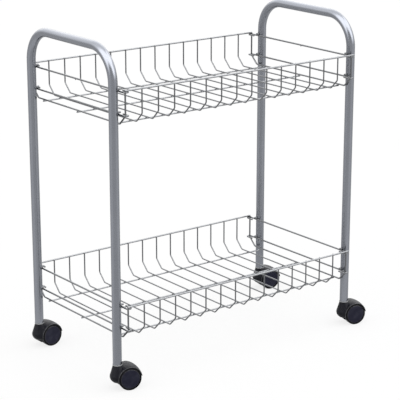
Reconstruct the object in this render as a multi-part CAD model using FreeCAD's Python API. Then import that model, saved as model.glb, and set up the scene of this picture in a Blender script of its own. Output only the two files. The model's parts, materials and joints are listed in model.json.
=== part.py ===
import FreeCAD, Part
import math
import os

# Two-tier rolling shelf: welded wire baskets between two bent-tube end frames, on four twin-wheel casters.
# Millimetres. The origin is on the floor, under the middle of the frame.
# +X runs along the shelf to its right end, +Y to its back, +Z up.

# Frame tubes
TUBE_DIAMETER = 16.0
TUBE_WALL = 1.2
TUBE_BEND_RADIUS = 57.0
POST_SPACING = 526.0
POST_INSET = 19.5
HANDLE_RISE = 66.0

# Baskets
BASKET_DEPTH = 293.0
LOWER_RIM_HEIGHT = 152.3
TIER_SPACING = 375.0
WALL_DROP = 43.2
FLOOR_DROP = 59.7
SLANT_INSET = 16.5
MID_WIRE_DROP = 39.5
FLOOR_WIRE_INSET = 38.0
FLOOR_WIRE_TIP = 4.0
THIN_RIBS = 14
RIM_WIRE = 3.2
END_WIRE = 3.2
END_RIB_WIRE = 3.0
RIB_WIRE = 2.5
FLOOR_WIRE = 2.8
RIB_BEND_RADIUS = 6.0
HOOK_FLAT = 1.7
HOOK_RETURN = 17.0
PEG_WIRE = 3.6
PEG_TIP = 6.5
PEG_REACH = 3.5
WELD_GAP = 0.05
PEG_HOLE_CLEARANCE = 0.15
POST_CLEARANCE = 0.1

# The thin ribs are many, so they are drawn with flats instead of a round section.
RIB_FLATS = 8

# Tube inserts and stems
INSERT_FLANGE_OVERHANG = 0.5
INSERT_FLANGE_THICKNESS = 1.5
INSERT_LENGTH = 31.0
INSERT_FIT = 0.05
STEM_DIAMETER = 8.0
STEM_REACH = 27.0
STEM_SEAT_DEPTH = 22.0
STEM_RUNNING_CLEARANCE = 0.06
SEAT_FIT = 0.02
RING_SECTION = 1.6
RING_DEPTH = 0.8
RING_SPLIT = 1.5
RING_DROP = 6.0

# Casters
WHEEL_DIAMETER = 41.0
WHEEL_WIDTH = 10.3
WHEEL_SPACING = 12.4
WHEEL_CHAMFER = 1.2
WHEEL_RIM_WIDTH = 1.6
WHEEL_FACE_RECESS = 0.6
WHEEL_FACE_WALL = 2.0
WHEEL_TREAD_WALL = 2.9
HUB_DIAMETER = 11.0
AXLE_DIAMETER = 5.0
AXLE_RUNNING_CLEARANCE = 0.06
AXLE_END_CLEARANCE = 0.3
HUB_CLEARANCE = 0.4
HOOD_GAP = 0.7
HOOD_EDGE_WALL = 0.9
HOOD_CROWN = 1.6
HOOD_SETBACK = 0.5
STEM_SETBACK = 5.6
WEB_THICKNESS = 4.4
BOSS_RISE = 3.1
BOSS_FLOOR = 3.0
NOSE_OFFSET = 2.8
NOSE_SHOULDER_DROP = 17.0
NOSE_SLOPE_INSET = 0.5
NOSE_WIDEST_DROP = 23.0
NOSE_BOTTOM_DROP = 30.0
NOSE_BOTTOM_INSET = 5.0
SWIVEL_CLEARANCE = 0.3
TUBE_SWING_CLEARANCE = 0.8
HOOD_FRONT_DEGREES = -106.0
HOOD_REAR_DEGREES = 82.0

# How each caster stands turned at rest, about its stem, in degrees
CASTER_TURNS = {"front_left": -14.0, "front_right": -15.0, "back_left": 3.0, "back_right": -10.0}

# Every cut runs this far past the face it opens.
OVERRUN = 2.0

# Worked-out radii and heights
TUBE_RADIUS = TUBE_DIAMETER / 2
BORE_RADIUS = TUBE_RADIUS - TUBE_WALL
WHEEL_RADIUS = WHEEL_DIAMETER / 2
STEM_RADIUS = STEM_DIAMETER / 2
AXLE_RADIUS = AXLE_DIAMETER / 2
BOSS_TOP = WHEEL_DIAMETER + BOSS_RISE
FLANGE_BOTTOM = BOSS_TOP + SWIVEL_CLEARANCE
TUBE_END = FLANGE_BOTTOM + INSERT_FLANGE_THICKNESS
UPPER_RIM_HEIGHT = LOWER_RIM_HEIGHT + TIER_SPACING
BAR_HEIGHT = UPPER_RIM_HEIGHT + HANDLE_RISE
RIM_HEIGHTS = {"lower": LOWER_RIM_HEIGHT, "upper": UPPER_RIM_HEIGHT}

# Worked-out places of posts and wires
POST_X = POST_SPACING / 2
RIM_Y = BASKET_DEPTH / 2
POST_Y = RIM_Y - POST_INSET
END_WIRE_X = POST_X - TUBE_RADIUS - POST_CLEARANCE - END_WIRE / 2
HOOK_BEND_RADIUS = (END_WIRE + END_RIB_WIRE) / 2 + WELD_GAP
HOOK_WIDTH = HOOK_FLAT + 2 * HOOK_BEND_RADIUS
END_RIB_X = END_WIRE_X - HOOK_BEND_RADIUS
TOP_WIRE_DROP = (RIM_WIRE + END_WIRE) / 2 + WELD_GAP
END_WIRE_DROPS = {"top": TOP_WIRE_DROP, "mid": TOP_WIRE_DROP + MID_WIRE_DROP}
FLOOR_WIRE_DROP = FLOOR_DROP + (RIB_WIRE + FLOOR_WIRE) / 2 + WELD_GAP
FLOOR_WIRE_PLACES = {"front": FLOOR_WIRE_INSET - RIM_Y, "middle": 0.0, "back": RIM_Y - FLOOR_WIRE_INSET}
ENDS = {"left": -1, "right": 1}

# Worked-out places in a caster. Its own origin is on the floor below its stem, and its wheels trail along +X.
HOOD_BORE = WHEEL_RADIUS + HOOD_GAP
HOOD_EDGE_RADIUS = HOOD_BORE + HOOD_EDGE_WALL
HOOD_RADIUS = HOOD_EDGE_RADIUS + HOOD_CROWN
TRAIL = HOOD_RADIUS - STEM_SETBACK
WHEEL_INNER = WHEEL_SPACING / 2
WHEEL_OUTER = WHEEL_INNER + WHEEL_WIDTH
HOOD_HALF_WIDTH = WHEEL_OUTER - HOOD_SETBACK
WEB_BOSS_HALF = WHEEL_INNER - HUB_CLEARANCE
AXLE_HALF = WHEEL_OUTER - WHEEL_FACE_RECESS - WHEEL_FACE_WALL - AXLE_END_CLEARANCE
CASTER_PLACES = {
    "front_left": (-POST_X, -POST_Y),
    "front_right": (POST_X, -POST_Y),
    "back_left": (-POST_X, POST_Y),
    "back_right": (POST_X, POST_Y),
}

X_AXIS = FreeCAD.Vector(1, 0, 0)
Y_AXIS = FreeCAD.Vector(0, 1, 0)
Z_AXIS = FreeCAD.Vector(0, 0, 1)


def vector(x, y, z):
    return FreeCAD.Vector(x, y, z)


def rod(start, end, diameter):
    """A straight round bar between two points."""
    run = end - start
    return Part.makeCylinder(diameter / 2, run.Length, start, run)


def round_section(place, direction, radius):
    return Part.Wire([Part.makeCircle(radius, place, direction)])


def flat_section(place, direction, side, diameter):
    """A many-sided section whose flats are one wire diameter apart, with a flat facing the given side."""
    step = 2 * math.pi / RIB_FLATS
    corner = diameter / 2 / math.cos(step / 2)
    other = direction.cross(side)
    other.normalize()
    turns = [step * (number + 0.5) for number in range(RIB_FLATS)]
    points = [place + (side * math.cos(turn) + other * math.sin(turn)) * corner for turn in turns]
    return Part.makePolygon(points + points[:1])


def bent_path(corners, bend_radius):
    """A line through the corners, each of which is rounded to a tangent bend."""
    edges = []
    start = corners[0]
    for before, corner, after in zip(corners, corners[1:], corners[2:]):
        back = (before - corner).normalize()
        ahead = (after - corner).normalize()
        inward = (back + ahead).normalize()
        half_turn = (math.pi - back.getAngle(ahead)) / 2
        reach = bend_radius * math.tan(half_turn)
        bend_start = corner + back * reach
        bend_middle = corner + inward * (bend_radius / math.cos(half_turn) - bend_radius)
        bend_end = corner + ahead * reach
        edges.append(Part.LineSegment(start, bend_start))
        edges.append(Part.Arc(bend_start, bend_middle, bend_end))
        start = bend_end
    edges.append(Part.LineSegment(start, corners[-1]))
    return Part.Wire([edge.toShape() for edge in edges])


def swept(path, section):
    return path.makePipeShell([section], True, False)


def peg_heights():
    """The heights of all pegs, which lie on the end wires of both baskets."""
    lift = (END_WIRE + PEG_WIRE) / 2 + WELD_GAP
    return [rim - drop + lift for rim in RIM_HEIGHTS.values() for drop in END_WIRE_DROPS.values()]


def frame_tube(side):
    """One end frame, hollow, with a hole for each peg in the side that faces the baskets."""
    x = side * POST_X
    corners = [
        vector(x, -POST_Y, TUBE_END),
        vector(x, -POST_Y, BAR_HEIGHT),
        vector(x, POST_Y, BAR_HEIGHT),
        vector(x, POST_Y, TUBE_END),
    ]
    path = bent_path(corners, TUBE_BEND_RADIUS)
    outer = swept(path, round_section(corners[0], Z_AXIS, TUBE_RADIUS))
    bore = swept(path, round_section(corners[0], Z_AXIS, BORE_RADIUS))
    tube = outer.cut(bore)
    hole_diameter = PEG_WIRE + 2 * PEG_HOLE_CLEARANCE
    holes = []
    for y in (-POST_Y, POST_Y):
        for z in peg_heights():
            inner_face = vector(x - side * (TUBE_RADIUS + OVERRUN), y, z)
            holes.append(rod(inner_face, vector(x, y, z), hole_diameter))
    return tube.cut(holes)


def rib_corners(x, rim_height, wire, floor_lift):
    """Corners of a rib: upright behind the front rim, slant, floor, slant and upright at the back rim."""
    wall_y = RIM_Y - (RIM_WIRE + wire) / 2 - WELD_GAP
    floor_y = wall_y - SLANT_INSET
    top = rim_height + RIM_WIRE / 2
    kink = rim_height - WALL_DROP
    floor = rim_height - FLOOR_DROP + floor_lift
    return [
        vector(x, -wall_y, top),
        vector(x, -wall_y, kink),
        vector(x, -floor_y, floor),
        vector(x, floor_y, floor),
        vector(x, wall_y, kink),
        vector(x, wall_y, top),
    ]


def thin_ribs(rim_height):
    """The evenly spaced ribs between the two end ribs."""
    pitch = 2 * END_RIB_X / (THIN_RIBS + 1)
    ribs = []
    for number in range(THIN_RIBS):
        corners = rib_corners(pitch * (number + 1) - END_RIB_X, rim_height, RIB_WIRE, 0.0)
        section = flat_section(corners[0], Z_AXIS, X_AXIS, RIB_WIRE)
        ribs.append(swept(bent_path(corners, RIB_BEND_RADIUS), section))
    return Part.makeCompound(ribs)


def end_rib(side, rim_height):
    """A thicker rib whose underside lies level with the thin ribs."""
    corners = rib_corners(side * END_RIB_X, rim_height, END_RIB_WIRE, (END_RIB_WIRE - RIB_WIRE) / 2)
    return swept(bent_path(corners, RIB_BEND_RADIUS), round_section(corners[0], Z_AXIS, END_RIB_WIRE / 2))


def rim(y, rim_height):
    return rod(vector(-END_WIRE_X, y, rim_height), vector(END_WIRE_X, y, rim_height), RIM_WIRE)


def floor_wire(y, rim_height):
    tip = END_RIB_X + END_RIB_WIRE / 2 + FLOOR_WIRE_TIP
    z = rim_height - FLOOR_WIRE_DROP
    return rod(vector(-tip, y, z), vector(tip, y, z), FLOOR_WIRE)


def end_wire(side, z):
    """A run along the posts that hooks round the end rib at both ends, under the rims."""
    outer_x = side * END_WIRE_X
    inner_x = side * (END_WIRE_X - HOOK_WIDTH)
    corners = [
        vector(inner_x, HOOK_RETURN - RIM_Y, z),
        vector(inner_x, -RIM_Y, z),
        vector(outer_x, -RIM_Y, z),
        vector(outer_x, RIM_Y, z),
        vector(inner_x, RIM_Y, z),
        vector(inner_x, RIM_Y - HOOK_RETURN, z),
    ]
    return swept(bent_path(corners, HOOK_BEND_RADIUS), round_section(corners[0], Y_AXIS, END_WIRE / 2))


def pegs(rim_height):
    """The short bars across the end wires that plug into the four posts at two heights."""
    lift = (END_WIRE + PEG_WIRE) / 2 + WELD_GAP
    face_x = POST_X - TUBE_RADIUS
    inside_x = face_x + TUBE_WALL + PEG_REACH
    bars = []
    for side in ENDS.values():
        for y in (-POST_Y, POST_Y):
            for drop in END_WIRE_DROPS.values():
                z = rim_height - drop + lift
                tip = vector(side * (face_x - PEG_TIP), y, z)
                bars.append(rod(tip, vector(side * inside_x, y, z), PEG_WIRE))
    return Part.makeCompound(bars)


def basket(tier, rim_height):
    """All the wires of one basket, by name."""
    wires = {
        f"{tier}_front_rim": rim(-RIM_Y, rim_height),
        f"{tier}_back_rim": rim(RIM_Y, rim_height),
        f"{tier}_ribs": thin_ribs(rim_height),
        f"{tier}_hook_pegs": pegs(rim_height),
    }
    for end, side in ENDS.items():
        wires[f"{tier}_{end}_end_rib"] = end_rib(side, rim_height)
        for level, drop in END_WIRE_DROPS.items():
            wires[f"{tier}_{end}_{level}_wire"] = end_wire(side, rim_height - drop)
    for place, y in FLOOR_WIRE_PLACES.items():
        wires[f"{tier}_{place}_floor_wire"] = floor_wire(y, rim_height)
    return wires


def turned(outline):
    """A solid turned about the caster's stem, from (radius, height) corners."""
    points = [vector(radius, 0, height) for radius, height in outline]
    face = Part.Face(Part.makePolygon(points + points[:1]))
    return face.revolve(vector(0, 0, 0), Z_AXIS, 360)


def about_axle(edges, start_degrees, sweep_degrees):
    """A solid swept about the axle, from the edges of a profile that stands straight above the axle."""
    profile = Part.Face(Part.Wire(edges))
    middle = vector(TRAIL, 0, WHEEL_RADIUS)
    profile.rotate(middle, Y_AXIS, start_degrees)
    return profile.revolve(middle, Y_AXIS, sweep_degrees)


def above_axle(across, radius):
    return vector(TRAIL, across, WHEEL_RADIUS + radius)


def polygon_edges(corners):
    points = [above_axle(across, radius) for across, radius in corners]
    return Part.makePolygon(points + points[:1]).Edges


def groove_heights():
    middle = FLANGE_BOTTOM + STEM_REACH - RING_DROP
    return middle - RING_SECTION / 2, middle + RING_SECTION / 2


def tube_insert():
    """The plastic bush in the tube's end, with a flange under the tube."""
    bore = STEM_RADIUS + STEM_RUNNING_CLEARANCE
    top = FLANGE_BOTTOM + INSERT_LENGTH
    body = BORE_RADIUS - INSERT_FIT
    flange = TUBE_RADIUS + INSERT_FLANGE_OVERHANG
    outline = [
        (bore, FLANGE_BOTTOM),
        (flange, FLANGE_BOTTOM),
        (flange, TUBE_END),
        (body, TUBE_END),
        (body, top),
        (bore, top),
    ]
    return turned(outline)


def stem():
    """The steel pin pressed into the hood, with a groove near its top."""
    low, high = groove_heights()
    groove = STEM_RADIUS - RING_DEPTH
    outline = [
        (0, BOSS_TOP - STEM_SEAT_DEPTH),
        (STEM_RADIUS, BOSS_TOP - STEM_SEAT_DEPTH),
        (STEM_RADIUS, low),
        (groove, low),
        (groove, high),
        (STEM_RADIUS, high),
        (STEM_RADIUS, FLANGE_BOTTOM + STEM_REACH),
        (0, FLANGE_BOTTOM + STEM_REACH),
    ]
    return turned(outline)


def grip_ring():
    """The split spring ring in the stem's groove, squeezed flush by the insert's bore."""
    low, high = groove_heights()
    inner = STEM_RADIUS - RING_DEPTH + SEAT_FIT
    outer = STEM_RADIUS
    bottom = low + SEAT_FIT
    top = high - SEAT_FIT
    ring = turned([(inner, bottom), (outer, bottom), (outer, top), (inner, top)])
    split = Part.makeBox(outer + OVERRUN, RING_SPLIT, RING_SECTION + 2 * OVERRUN)
    split.translate(vector(0, -RING_SPLIT / 2, low - OVERRUN))
    return ring.cut(split)


def nose():
    """The rounded front of the hood, which swells from the stem boss to the hood's full width."""
    shoulder_z = BOSS_TOP - NOSE_SHOULDER_DROP
    shoulder_radius = HOOD_HALF_WIDTH - NOSE_SLOPE_INSET
    middle = vector(NOSE_OFFSET, 0, 0)
    shoulder = vector(NOSE_OFFSET + shoulder_radius, 0, shoulder_z)
    widest = vector(NOSE_OFFSET + HOOD_HALF_WIDTH, 0, BOSS_TOP - NOSE_WIDEST_DROP)
    bottom = vector(NOSE_OFFSET + HOOD_HALF_WIDTH - NOSE_BOTTOM_INSET, 0, BOSS_TOP - NOSE_BOTTOM_DROP)
    bottom_middle = vector(NOSE_OFFSET, 0, BOSS_TOP - NOSE_BOTTOM_DROP)
    shoulder_middle = vector(NOSE_OFFSET, 0, shoulder_z)
    edges = [
        Part.Arc(shoulder, widest, bottom).toShape(),
        Part.LineSegment(bottom, bottom_middle).toShape(),
        Part.LineSegment(bottom_middle, shoulder_middle).toShape(),
        Part.LineSegment(shoulder_middle, shoulder).toShape(),
    ]
    belly = Part.Face(Part.Wire(edges)).revolve(middle, Z_AXIS, 360)
    boss_edge = round_section(vector(0, 0, BOSS_TOP), Z_AXIS, TUBE_RADIUS)
    shoulder_edge = round_section(shoulder_middle, Z_AXIS, shoulder_radius)
    return Part.makeLoft([boss_edge, shoulder_edge], True, True).fuse(belly)


def hood():
    """The moulded body: a crowned fender over both wheels, its nose, the web between them and the bosses."""
    sweep = HOOD_REAR_DEGREES - HOOD_FRONT_DEGREES
    left = above_axle(-HOOD_HALF_WIDTH, HOOD_EDGE_RADIUS)
    crown = above_axle(0, HOOD_RADIUS)
    right = above_axle(HOOD_HALF_WIDTH, HOOD_EDGE_RADIUS)
    left_foot = above_axle(-HOOD_HALF_WIDTH, 0)
    right_foot = above_axle(HOOD_HALF_WIDTH, 0)
    edges = [
        Part.Arc(left, crown, right).toShape(),
        Part.LineSegment(right, right_foot).toShape(),
        Part.LineSegment(right_foot, left_foot).toShape(),
        Part.LineSegment(left_foot, left).toShape(),
    ]
    fender = about_axle(edges, HOOD_FRONT_DEGREES, sweep)
    body = fender.fuse(nose())
    for side in ENDS.values():
        pocket_start = vector(TRAIL, side * WEB_THICKNESS / 2, WHEEL_RADIUS)
        pocket_end = vector(TRAIL, side * (HOOD_HALF_WIDTH + OVERRUN), WHEEL_RADIUS)
        body = body.cut(rod(pocket_start, pocket_end, 2 * HOOD_BORE))
    axle_boss_start = vector(TRAIL, -WEB_BOSS_HALF, WHEEL_RADIUS)
    axle_boss_end = vector(TRAIL, WEB_BOSS_HALF, WHEEL_RADIUS)
    body = body.fuse(rod(axle_boss_start, axle_boss_end, HUB_DIAMETER))
    column_height = STEM_SEAT_DEPTH + BOSS_FLOOR
    body = body.fuse(Part.makeCylinder(WEB_BOSS_HALF, column_height, vector(0, 0, BOSS_TOP - column_height)))
    swing_radius = TUBE_RADIUS + INSERT_FLANGE_OVERHANG + TUBE_SWING_CLEARANCE
    swing_height = HOOD_RADIUS + OVERRUN
    body = body.cut(Part.makeCylinder(swing_radius, swing_height, vector(0, 0, BOSS_TOP)))
    seat_bottom = vector(0, 0, BOSS_TOP - STEM_SEAT_DEPTH - SEAT_FIT)
    body = body.cut(rod(seat_bottom, vector(0, 0, BOSS_TOP + OVERRUN), STEM_DIAMETER + 2 * SEAT_FIT))
    axle_start = vector(TRAIL, -WEB_BOSS_HALF - OVERRUN, WHEEL_RADIUS)
    axle_end = vector(TRAIL, WEB_BOSS_HALF + OVERRUN, WHEEL_RADIUS)
    return body.cut(rod(axle_start, axle_end, AXLE_DIAMETER + 2 * SEAT_FIT)).removeSplitter()


def axle():
    start = vector(TRAIL, -AXLE_HALF, WHEEL_RADIUS)
    return rod(start, vector(TRAIL, AXLE_HALF, WHEEL_RADIUS), AXLE_DIAMETER)


def wheel(side):
    """One wheel: closed recessed outer face, tread, and a hub with a blind bore, open towards the web."""
    bore = AXLE_RADIUS + AXLE_RUNNING_CLEARANCE
    hub = HUB_DIAMETER / 2
    tread_inside = WHEEL_RADIUS - WHEEL_TREAD_WALL
    face_edge = WHEEL_RADIUS - WHEEL_CHAMFER - WHEEL_RIM_WIDTH
    face = WHEEL_OUTER - WHEEL_FACE_RECESS
    face_back = face - WHEEL_FACE_WALL
    corners = [
        (WHEEL_INNER, bore),
        (WHEEL_INNER, hub),
        (face_back, hub),
        (face_back, tread_inside),
        (WHEEL_INNER, tread_inside),
        (WHEEL_INNER, WHEEL_RADIUS - WHEEL_CHAMFER),
        (WHEEL_INNER + WHEEL_CHAMFER, WHEEL_RADIUS),
        (WHEEL_OUTER - WHEEL_CHAMFER, WHEEL_RADIUS),
        (WHEEL_OUTER, WHEEL_RADIUS - WHEEL_CHAMFER),
        (WHEEL_OUTER, face_edge),
        (face, face_edge - WHEEL_FACE_RECESS),
        (face, 0),
        (face_back, 0),
        (face_back, bore),
    ]
    return about_axle(polygon_edges([(side * across, radius) for across, radius in corners]), 0, 360)


def caster(name):
    """The pieces of one caster by name, at its post and turned as it stands at rest."""
    pieces = {
        f"{name}_tube_insert": tube_insert(),
        f"{name}_stem": stem(),
        f"{name}_grip_ring": grip_ring(),
        f"{name}_hood": hood(),
        f"{name}_axle": axle(),
        f"{name}_front_wheel": wheel(-1),
        f"{name}_back_wheel": wheel(1),
    }
    x, y = CASTER_PLACES[name]
    for piece in pieces.values():
        piece.rotate(vector(0, 0, 0), Z_AXIS, CASTER_TURNS[name])
        piece.translate(vector(x, y, 0))
    return pieces


def rolling_shelf():
    """Every piece of the shelf by name."""
    pieces = {f"{end}_frame_tube": frame_tube(side) for end, side in ENDS.items()}
    for tier, rim_height in RIM_HEIGHTS.items():
        pieces.update(basket(tier, rim_height))
    for name in CASTER_PLACES:
        pieces.update(caster(name))
    return pieces


os.makedirs("parts", exist_ok=True)
for node, shape in rolling_shelf().items():
    shape.exportStep(f"parts/{node}.step")
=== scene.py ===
import json
import math
import bmesh
import bpy
from bpy.props import FloatProperty, FloatVectorProperty, IntProperty, PointerProperty
from mathutils import Matrix, Vector


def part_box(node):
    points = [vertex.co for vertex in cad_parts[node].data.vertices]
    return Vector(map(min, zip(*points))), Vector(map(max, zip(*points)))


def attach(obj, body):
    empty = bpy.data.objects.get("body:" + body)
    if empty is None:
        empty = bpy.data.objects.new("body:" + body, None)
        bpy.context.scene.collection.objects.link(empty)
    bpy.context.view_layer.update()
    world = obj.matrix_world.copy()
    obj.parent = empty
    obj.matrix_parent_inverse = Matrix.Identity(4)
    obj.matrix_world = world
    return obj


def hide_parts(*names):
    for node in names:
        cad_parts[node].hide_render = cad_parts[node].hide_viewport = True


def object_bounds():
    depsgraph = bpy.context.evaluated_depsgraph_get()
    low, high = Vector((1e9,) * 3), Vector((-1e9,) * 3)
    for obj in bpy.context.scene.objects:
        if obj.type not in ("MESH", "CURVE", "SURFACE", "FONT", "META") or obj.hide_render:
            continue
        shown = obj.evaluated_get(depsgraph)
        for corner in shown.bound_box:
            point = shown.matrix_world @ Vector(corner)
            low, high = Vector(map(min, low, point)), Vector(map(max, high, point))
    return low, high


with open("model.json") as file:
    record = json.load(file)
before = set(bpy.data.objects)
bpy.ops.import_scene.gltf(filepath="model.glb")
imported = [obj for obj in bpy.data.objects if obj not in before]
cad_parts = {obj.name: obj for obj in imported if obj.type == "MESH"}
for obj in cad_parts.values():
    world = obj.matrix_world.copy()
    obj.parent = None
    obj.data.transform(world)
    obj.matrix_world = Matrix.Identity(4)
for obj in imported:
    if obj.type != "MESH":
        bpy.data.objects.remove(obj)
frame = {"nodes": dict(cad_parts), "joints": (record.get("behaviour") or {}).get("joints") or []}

# Looks of the two-tier rolling shelf: painted tubes, welded wire baskets and black twin-wheel casters.
# Metres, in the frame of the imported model: +X along the shelf, +Y to its back, +Z up from the floor.

bl_info = {
    "name": "Rolling Shelf Looks",
    "version": (1, 0, 0),
    "blender": (4, 5, 0),
    "location": "View3D > Sidebar > Shelf",
    "description": "Builds the painted frame, wire baskets and casters of a two-tier rolling shelf",
    "category": "Object",
}

CAD_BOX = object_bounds()
TIERS = ("upper", "lower")
ENDS = {"left": -1, "right": 1}
LEVELS = ("top", "mid")
RIMS = ("front_rim", "back_rim")
FLOOR_WIRES = ("front_floor_wire", "middle_floor_wire", "back_floor_wire")
CASTERS = ("front_left", "front_right", "back_left", "back_right")
WHEELS = {"front": -1, "back": 1}
PINS = ("stem", "axle", "grip_ring")
ALONG = Vector((1, 0, 0))
ACROSS = Vector((0, 1, 0))
UP = Vector((0, 0, 1))

# Edges that turn more than this stay sharp
TUBE_SHARP = math.radians(40)
WIRE_SHARP = math.radians(30)
BLOB_SHARP = math.radians(60)
# How far a weld spreads along its two wires and across them, in weld bulges
WELD_SPREAD = (1.5, 1.5, 0.8)
WELD_SEGMENTS = 10
WELD_RINGS = 6
# A hanging paint drop from its tip up into the wire, as (height, radius) in drop radii
DROP_PROFILE = ((-1.3, 0), (-1.2, 0.35), (-0.9, 0.7), (-0.4, 0.85), (0.1, 1.05), (0.5, 1.2), (0.6, 0))
DROP_STEPS = 12
# Steps in the rounded edges of a wheel, and the numbers of its finishes
CORNER_STEPS = 6
WHEEL_FINISHES = ("black_wheel", "black_tread", "glossy_edge")
FACE, TREAD, EDGE = range(len(WHEEL_FINISHES))
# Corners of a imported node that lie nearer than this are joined
SAME_PLACE = 1e-6

# Noise patterns, each as (scale, detail)
PAINT_CLOUDS = (14.0, 3.0)
PAINT_FLAKES = (2600.0, 1.0)
PAINT_SKIN = (420.0, 2.0)
PLASTIC_PATCHES = (90.0, 4.0)
PLASTIC_GRAIN = (3200.0, 2.0)
FLOOR_CLOUDS = (3.0, 2.0)
# Noise values at which clouds and patches start and are full
CLOUD_LIMITS = (0.3, 0.7)
PATCH_LIMITS = (0.45, 0.75)
# How much the flakes and the clouds each lighten the paint
FLAKE_SHARE = 0.6
CLOUD_SHARE = 0.5
# Relief of the paint's skin and of the plastics' grain
SKIN_STRENGTH = 0.03
SKIN_DEPTH = 0.0002
GRAIN_DEPTH = 0.0003
# Tint of the paint's reflections towards its outline, and the roughness of the lacquer on it
PAINT_EDGE = (0.6, 0.6, 0.61)
LACQUER_ROUGHNESS = 0.07
PAINTS = {
    "silver_tube": {"colours": "tube", "smooth": 0.16, "rough": 0.26, "metallic": 0.9, "lacquer": 0.45},
    # Bent wires and pegs: the tubes' silver paint, darkened as painted shade
    "silver_wire_painted_shade": {"colours": "wire", "smooth": 0.24, "rough": 0.34, "metallic": 0.85, "lacquer": 0.55},
    # Rims and floor wires: the same paint made lighter than on the bent wires, painted light where they catch
    # the ceiling
    "silver_rim_painted_light": {"colours": "rim", "smooth": 0.22, "rough": 0.32, "metallic": 0.85, "lacquer": 0.6},
    # Welds and paint drops: the wires' paint made lighter, a painted highlight on the small swellings
    "silver_weld_painted_light": {"colours": "weld", "smooth": 0.28, "rough": 0.4, "metallic": 0.7, "lacquer": 0.5},
    "bare_pin": {"colours": "pin", "smooth": 0.25, "rough": 0.4, "metallic": 1.0, "lacquer": 0.0},
}
PLASTICS = {
    "grey_bush": {"colours": "bush", "smooth": 0.4, "rough": 0.55, "grain": 0.08, "specular": 0.4},
    "black_hood": {"colours": "hood", "smooth": 0.42, "rough": 0.55, "grain": 0.14, "specular": 0.12},
    # Hoods' lips: a lighter plastic than the hood, a painted highlight along its edges
    "lip_painted_highlight": {"colours": "lip", "smooth": 0.3, "rough": 0.45, "grain": 0.1, "specular": 0.4},
    "black_wheel": {"colours": "wheel", "smooth": 0.38, "rough": 0.5, "grain": 0.1, "specular": 0.1},
    "glossy_edge": {"colours": "edge", "smooth": 0.24, "rough": 0.34, "grain": 0.05, "specular": 0.5},
    "black_tread": {"colours": "tread", "smooth": 0.5, "rough": 0.7, "grain": 0.2, "specular": 0.08},
}

FLOOR_ROUGHNESS = 0.9
FLOOR_SHADES = (0.93, 0.95)
# From the shelf towards the key light, and towards the front of the studio
KEY_FROM = Vector((0.58, -0.2, 0.79))
FRONT_SIDE = Vector((-0.6, -0.8, 0))
# Height of a direction, from 0 for level to 1 for upright, at which the ceiling starts and is full
CEILING_LIMITS = (0.0, 0.38)
# Brightness of the ceiling from the back of the studio (-1) to its front (1): softboxes beside a dark gap
CEILING_BRIGHTNESS = (
    (-0.95, 3.5), (-0.72, 2.95), (-0.42, 2.2), (0.0, 2.4), (0.12, 4.5), (0.64, 4.5), (0.82, 0.9),
)
# Painted pools of light: brightness of the floor only where metal mirrors it, from back to front under the
# softboxes
FLOOR_PAINTED_POOLS = ((-0.1, 1.0), (0.15, 1.28), (0.6, 1.28), (0.85, 0.97))
VIEW_DEPTH = 100.0


def length_property(name, description, default):
    return FloatProperty(name=name, description=description, default=default, unit="LENGTH", precision=5)


def angle_property(name, description, default):
    return FloatProperty(name=name, description=description, default=default, subtype="ANGLE")


def count_property(name, description, default, least):
    return IntProperty(name=name, description=description, default=default, min=least)


def group_property(kind, name, description):
    return PointerProperty(type=kind, name=name, description=description)


def colour_property(name, description, default):
    return FloatVectorProperty(
        name=name, description=description, default=default, subtype="COLOR", min=0.0, max=1.0
    )


class ShelfFrameSettings(bpy.types.PropertyGroup):
    """Shape of the two end frames."""
    bend_radius: length_property("Bend radius", "Centre-line radius of the tube's bends", 0.057)
    tube_sides: count_property("Tube sides", "Facets round a tube", 48, 12)
    bend_steps: count_property("Bend steps", "Rings in a tube's bend", 20, 4)


class ShelfWireSettings(bpy.types.PropertyGroup):
    """Shape of the wires of one basket."""
    rib_count: count_property("Ribs", "Thin ribs between the end ribs", 14, 2)
    rib_wire: length_property("Rib wire", "Diameter of a thin rib", 0.0025)
    end_rib_wire: length_property("End rib wire", "Diameter of an end rib", 0.003)
    wall_height: length_property("Wall height", "From a rib's top to its first bend", 0.0448)
    slant_inset: length_property("Slant inset", "How far a rib's slant runs inwards", 0.0165)
    rib_bend: length_property("Rib bend", "Centre-line radius of a rib's bends", 0.006)
    hairpin_return: length_property("Hairpin return", "Length of an end wire's hooked end", 0.017)
    hairpin_bend: length_property("Hairpin bend", "Centre-line radius of an end wire's hook", 0.00315)
    peg_length: length_property("Peg length", "Length of a peg from its tip to its end in the tube", 0.0112)
    end_round: length_property("End rounding", "How far the paint rounds a cut wire end", 0.0006)
    floor_wire_trim: length_property("Floor wire trim", "How much a floor wire is cut at each side", 0.003)
    drop_radius: length_property("Drop radius", "Radius of the paint drop under a top end wire", 0.0012)
    weld_bulge: length_property("Weld bulge", "How far a weld swells past the wires' contact", 0.0011)
    wire_sides: count_property("Wire sides", "Facets round a wire", 14, 6)
    bend_steps: count_property("Bend steps", "Rings in a wire's bend", 6, 2)


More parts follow.
